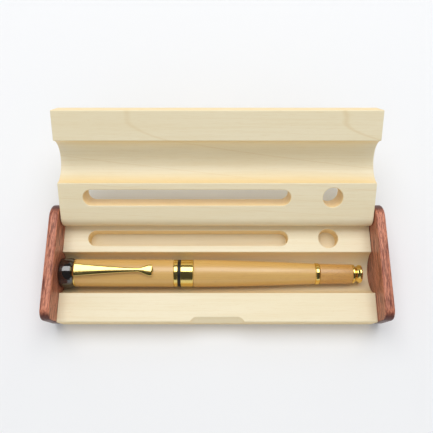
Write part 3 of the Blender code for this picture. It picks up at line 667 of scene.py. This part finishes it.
def clip_line(share):
    """The clip's centreline: (distance along the pen, height, half width, half thickness)."""
    wide, narrow = CLIP_WIDTHS
    if share < CLIP_ROOT:
        turn = share / CLIP_ROOT * pi / 2
        along = CLIP_BEND[0] + CLIP_BEND[1] * (1 - cos(turn))
        height = CLIP_HEIGHT - CLIP_RISE + CLIP_RISE * sin(turn)
        return along, height, wide / 2, 0.36 + 0.14 * sin(turn)
    start, end = CLIP_STRAIGHT
    along = start + (end - start) * (share - CLIP_ROOT) / (1 - CLIP_ROOT)
    if share < CLIP_TIP:
        run = (share - CLIP_ROOT) / (CLIP_TIP - CLIP_ROOT)
        half_width = (narrow + (wide - narrow) * (1 - run) ** 1.3) / 2
        return along, CLIP_HEIGHT, half_width, CLIP_HALF_THICK
    run = (share - CLIP_TIP) / (1 - CLIP_TIP)
    swell = sin(min(1.0, run / 0.86) * pi / 2) ** 1.7
    close = sqrt(max(0.0, 1 - max(0.0, (run - 0.84) / 0.16) ** 2.5))
    height = CLIP_HEIGHT - CLIP_DROP * sin(run * pi / 2) ** 2
    half_width = (narrow + CLIP_SWELL * swell) / 2 * (0.2 + 0.8 * close)
    half_thick = CLIP_HALF_THICK * (1 + 0.3 * swell) * (0.35 + 0.65 * close)
    return along, height, half_width, half_thick


def clip_mesh():
    """The clip: a springy strap that bends down to its washer and ends in a teardrop."""
    around = 28
    rings = []
    shares = [CLIP_ROOT * k / 10 for k in range(10)]
    shares += [CLIP_ROOT + (1 - CLIP_ROOT) * (k / 70) for k in range(71)]
    for share in shares:
        along, height, half_width, half_thick = clip_line(share)
        before = clip_line(max(0.0, share - 0.004))
        after = clip_line(min(1.0, share + 0.004))
        lean = atan2(after[1] - before[1], after[0] - before[0])
        ring = []
        for k in range(around):
            turn = 2 * pi * k / around
            across = half_width * cos(turn)
            over = half_thick * sin(turn)
            ring.append((-(height + over * cos(lean)), across, along - over * sin(lean)))
        rings.append(ring)
    return loft_mesh("clip_arm", rings)


piece("clip_arm_gold", clip_mesh(), gold, "pen_clip", "gold_plate", "clip_arm", place=PEN)

# ---------------------------------------------------------------- pieces kept as CAD made them
FINISHES = {"hinge_pin": steel, "dowel": beech, "cap_liner": brass, "cap_bushing": brass,
            "inner_cap": black_resin, "barrel_liner": brass, "grip_section": black_resin,
            "section_collar": gold, "feed": black_resin, "nib": gold, "converter_tube": clear_resin,
            "converter_collar": gold, "converter_knob": black_resin, "converter_piston": seal_rubber}
for node_name, node in NODES.items():
    for start, material in FINISHES.items():
        if node_name.startswith(start):
            node.data.materials.clear()
            node.data.materials.append(material)

# ---------------------------------------------------------------- floor, light and camera
scene = bpy.context.scene

bm = bmesh.new()
bmesh.ops.create_grid(bm, x_segments=8, y_segments=8, size=6.0)
floor_mesh = bpy.data.meshes.new("floor")
bm.to_mesh(floor_mesh)
bm.free()
floor = bpy.data.objects.new("floor", floor_mesh)
floor.location = (0, 0, -0.0002)
scene.collection.objects.link(floor)
paper = Shader("table_top")
tone = paper.mix(paper.noise((3, 3, 3), 2.0), (0.845, 0.85, 0.86), (0.865, 0.868, 0.873))
paper.shine(Base_Color=tone, Roughness=0.85, Specular_IOR_Level=0.15,
            Normal=paper.bump(paper.noise((700, 700, 700), 2.0), 0.01))
floor_mesh.materials.append(paper.material)


def area_light(name, width, height, watts, distance, lean):
    """A soft panel that faces the case from straight above, leaning to the rear or, below 0, the front."""
    light = bpy.data.lights.new(name, "AREA")
    light.shape = "RECTANGLE"
    light.size = width
    light.size_y = height
    light.energy = watts
    panel = bpy.data.objects.new(name, light)
    panel.location = (0, distance * sin(lean), distance * cos(lean))
    panel.rotation_euler = (-lean, 0, 0)
    scene.collection.objects.link(panel)
    return panel


area_light("softbox", 1.0, 0.66, 6.6, 1.0, radians(23))
for fill in (area_light("front_fill", 2.0, 1.2, 3.4, 1.4, radians(-50)),
             area_light("top_fill", 1.2, 1.2, 1.5, 1.3, radians(-4)),
             area_light("back_fill", 1.8, 0.8, 2.6, 1.4, radians(66))):
    fill.visible_glossy = False

world = bpy.data.worlds.new("studio")
world.use_nodes = True
scene.world = world
sky = world.node_tree.nodes["Background"]
sky.inputs["Color"].default_value = (0.95, 0.97, 1.0, 1)


def sky_node(kind, *inputs, **settings):
    """A node of the world with its first inputs linked or set; returns its output."""
    made = world.node_tree.nodes.new(kind)
    for key, value in settings.items():
        setattr(made, key, value)
    for socket, value in zip(made.inputs, inputs):
        if isinstance(value, bpy.types.NodeSocket):
            world.node_tree.links.new(value, socket)
        else:
            socket.default_value = value
    return made.outputs[0]


# Reflections show a dim room over a pale horizon
rays = world.node_tree.nodes.new("ShaderNodeLightPath")
toward = world.node_tree.nodes.new("ShaderNodeTexCoord").outputs["Generated"]
rise = world.node_tree.nodes.new("ShaderNodeSeparateXYZ")
world.node_tree.links.new(toward, rise.inputs[0])
room = sky_node("ShaderNodeMapRange", rise.outputs["Z"], 0.28, 0.42, 0.85, 0.06,
                interpolation_type="SMOOTHSTEP")
glossy = sky_node("ShaderNodeMapRange", rays.outputs["Is Glossy Ray"], 0.0, 1.0, 0.40, room)
backdrop = sky_node("ShaderNodeMath", rays.outputs["Is Camera Ray"], 0.93, operation="MULTIPLY")
seen = sky_node("ShaderNodeMath", glossy, backdrop, operation="MAXIMUM")
world.node_tree.links.new(seen, sky.inputs["Strength"])

scene.view_settings.view_transform = "Standard"

IMAGE_WIDTH = 433
FOCAL = 495.4                 # in pixels of an image of that width
camera = bpy.data.cameras.new("camera")
camera.sensor_width = 36.0
camera.lens = FOCAL / IMAGE_WIDTH * camera.sensor_width
camera.clip_start = 0.01
camera_object = bpy.data.objects.new("camera", camera)
camera_object.location = (-0.0003, -0.04861, 0.24325)
camera_object.rotation_euler = (radians(17.25), 0, 0)
scene.collection.objects.link(camera_object)
scene.camera = camera_object
